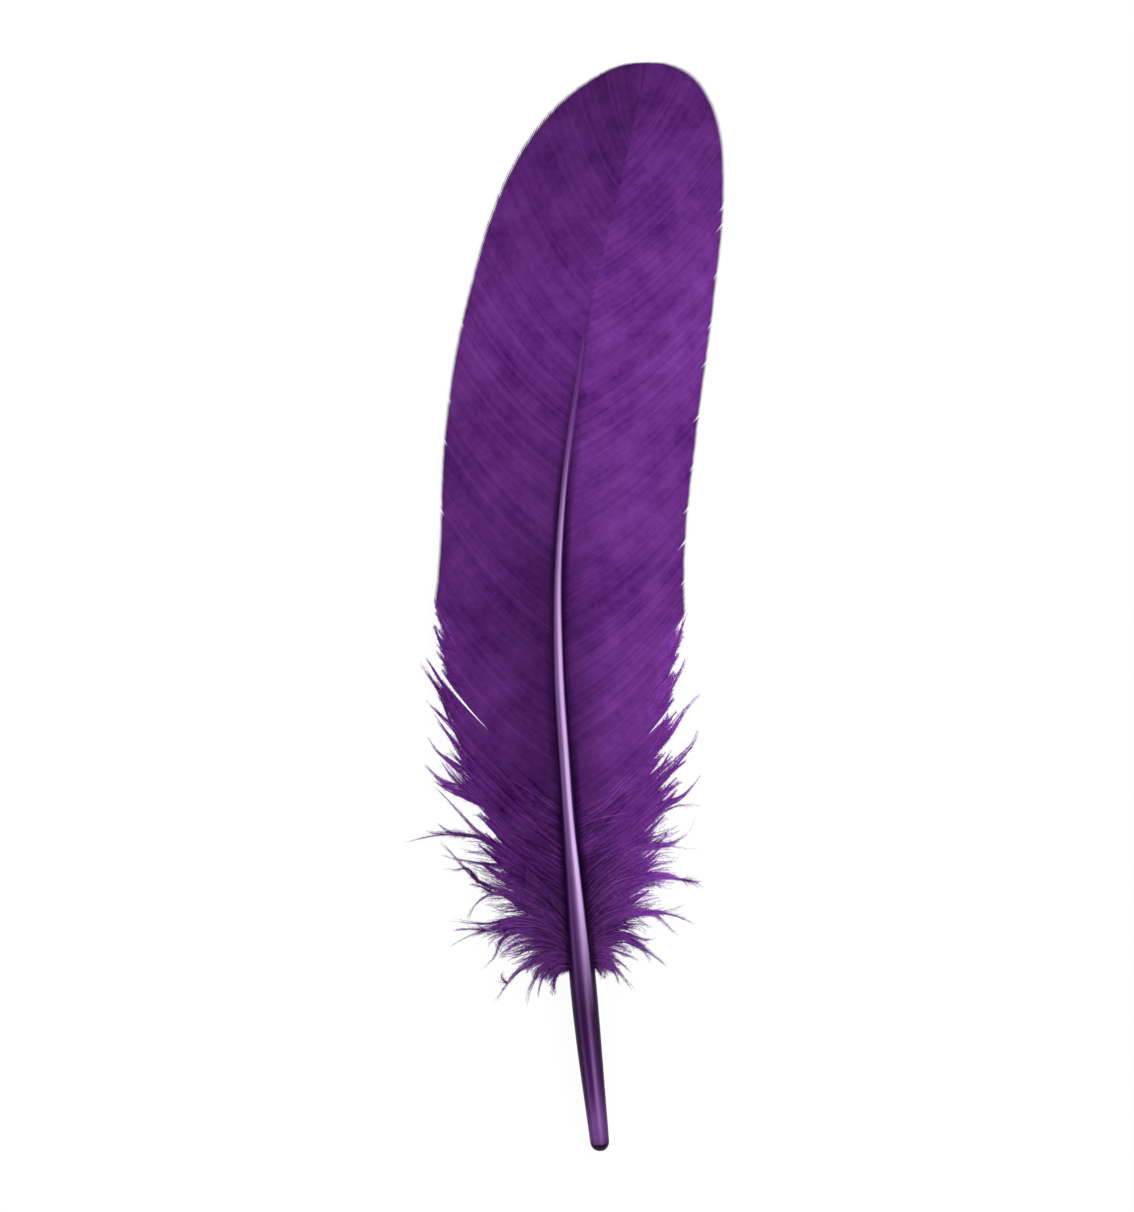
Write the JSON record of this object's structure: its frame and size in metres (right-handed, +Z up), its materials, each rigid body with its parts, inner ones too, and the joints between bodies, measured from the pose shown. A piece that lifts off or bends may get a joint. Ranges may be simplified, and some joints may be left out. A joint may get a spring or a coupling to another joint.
{
  "type": "goose quill feather",
  "caption": "Purple-dyed goose feather with a bare quill, a fringe of down and two broad vanes, lying on its hollow side.",
  "frame": {"origin": "on the surface that the feather rests on, under the middle of its bounding box", "axes": "+Y from the open end of the quill to the tip, +Z up out of the glossy back of the feather, +X to the right seen from above with the tip away from the viewer"},
  "size_m": [0.0518, 0.1781, 0.0078],
  "materials": {
    "vane": "dyed purple barbs with a soft silky sheen",
    "down": "dyed purple down, matte and fluffy",
    "quill": "dyed horn-like shaft, smooth and glossy, lilac along its crest"
  },
  "bodies": {
    "root": {"feather": "vane"}
  },
  "joints": []
}
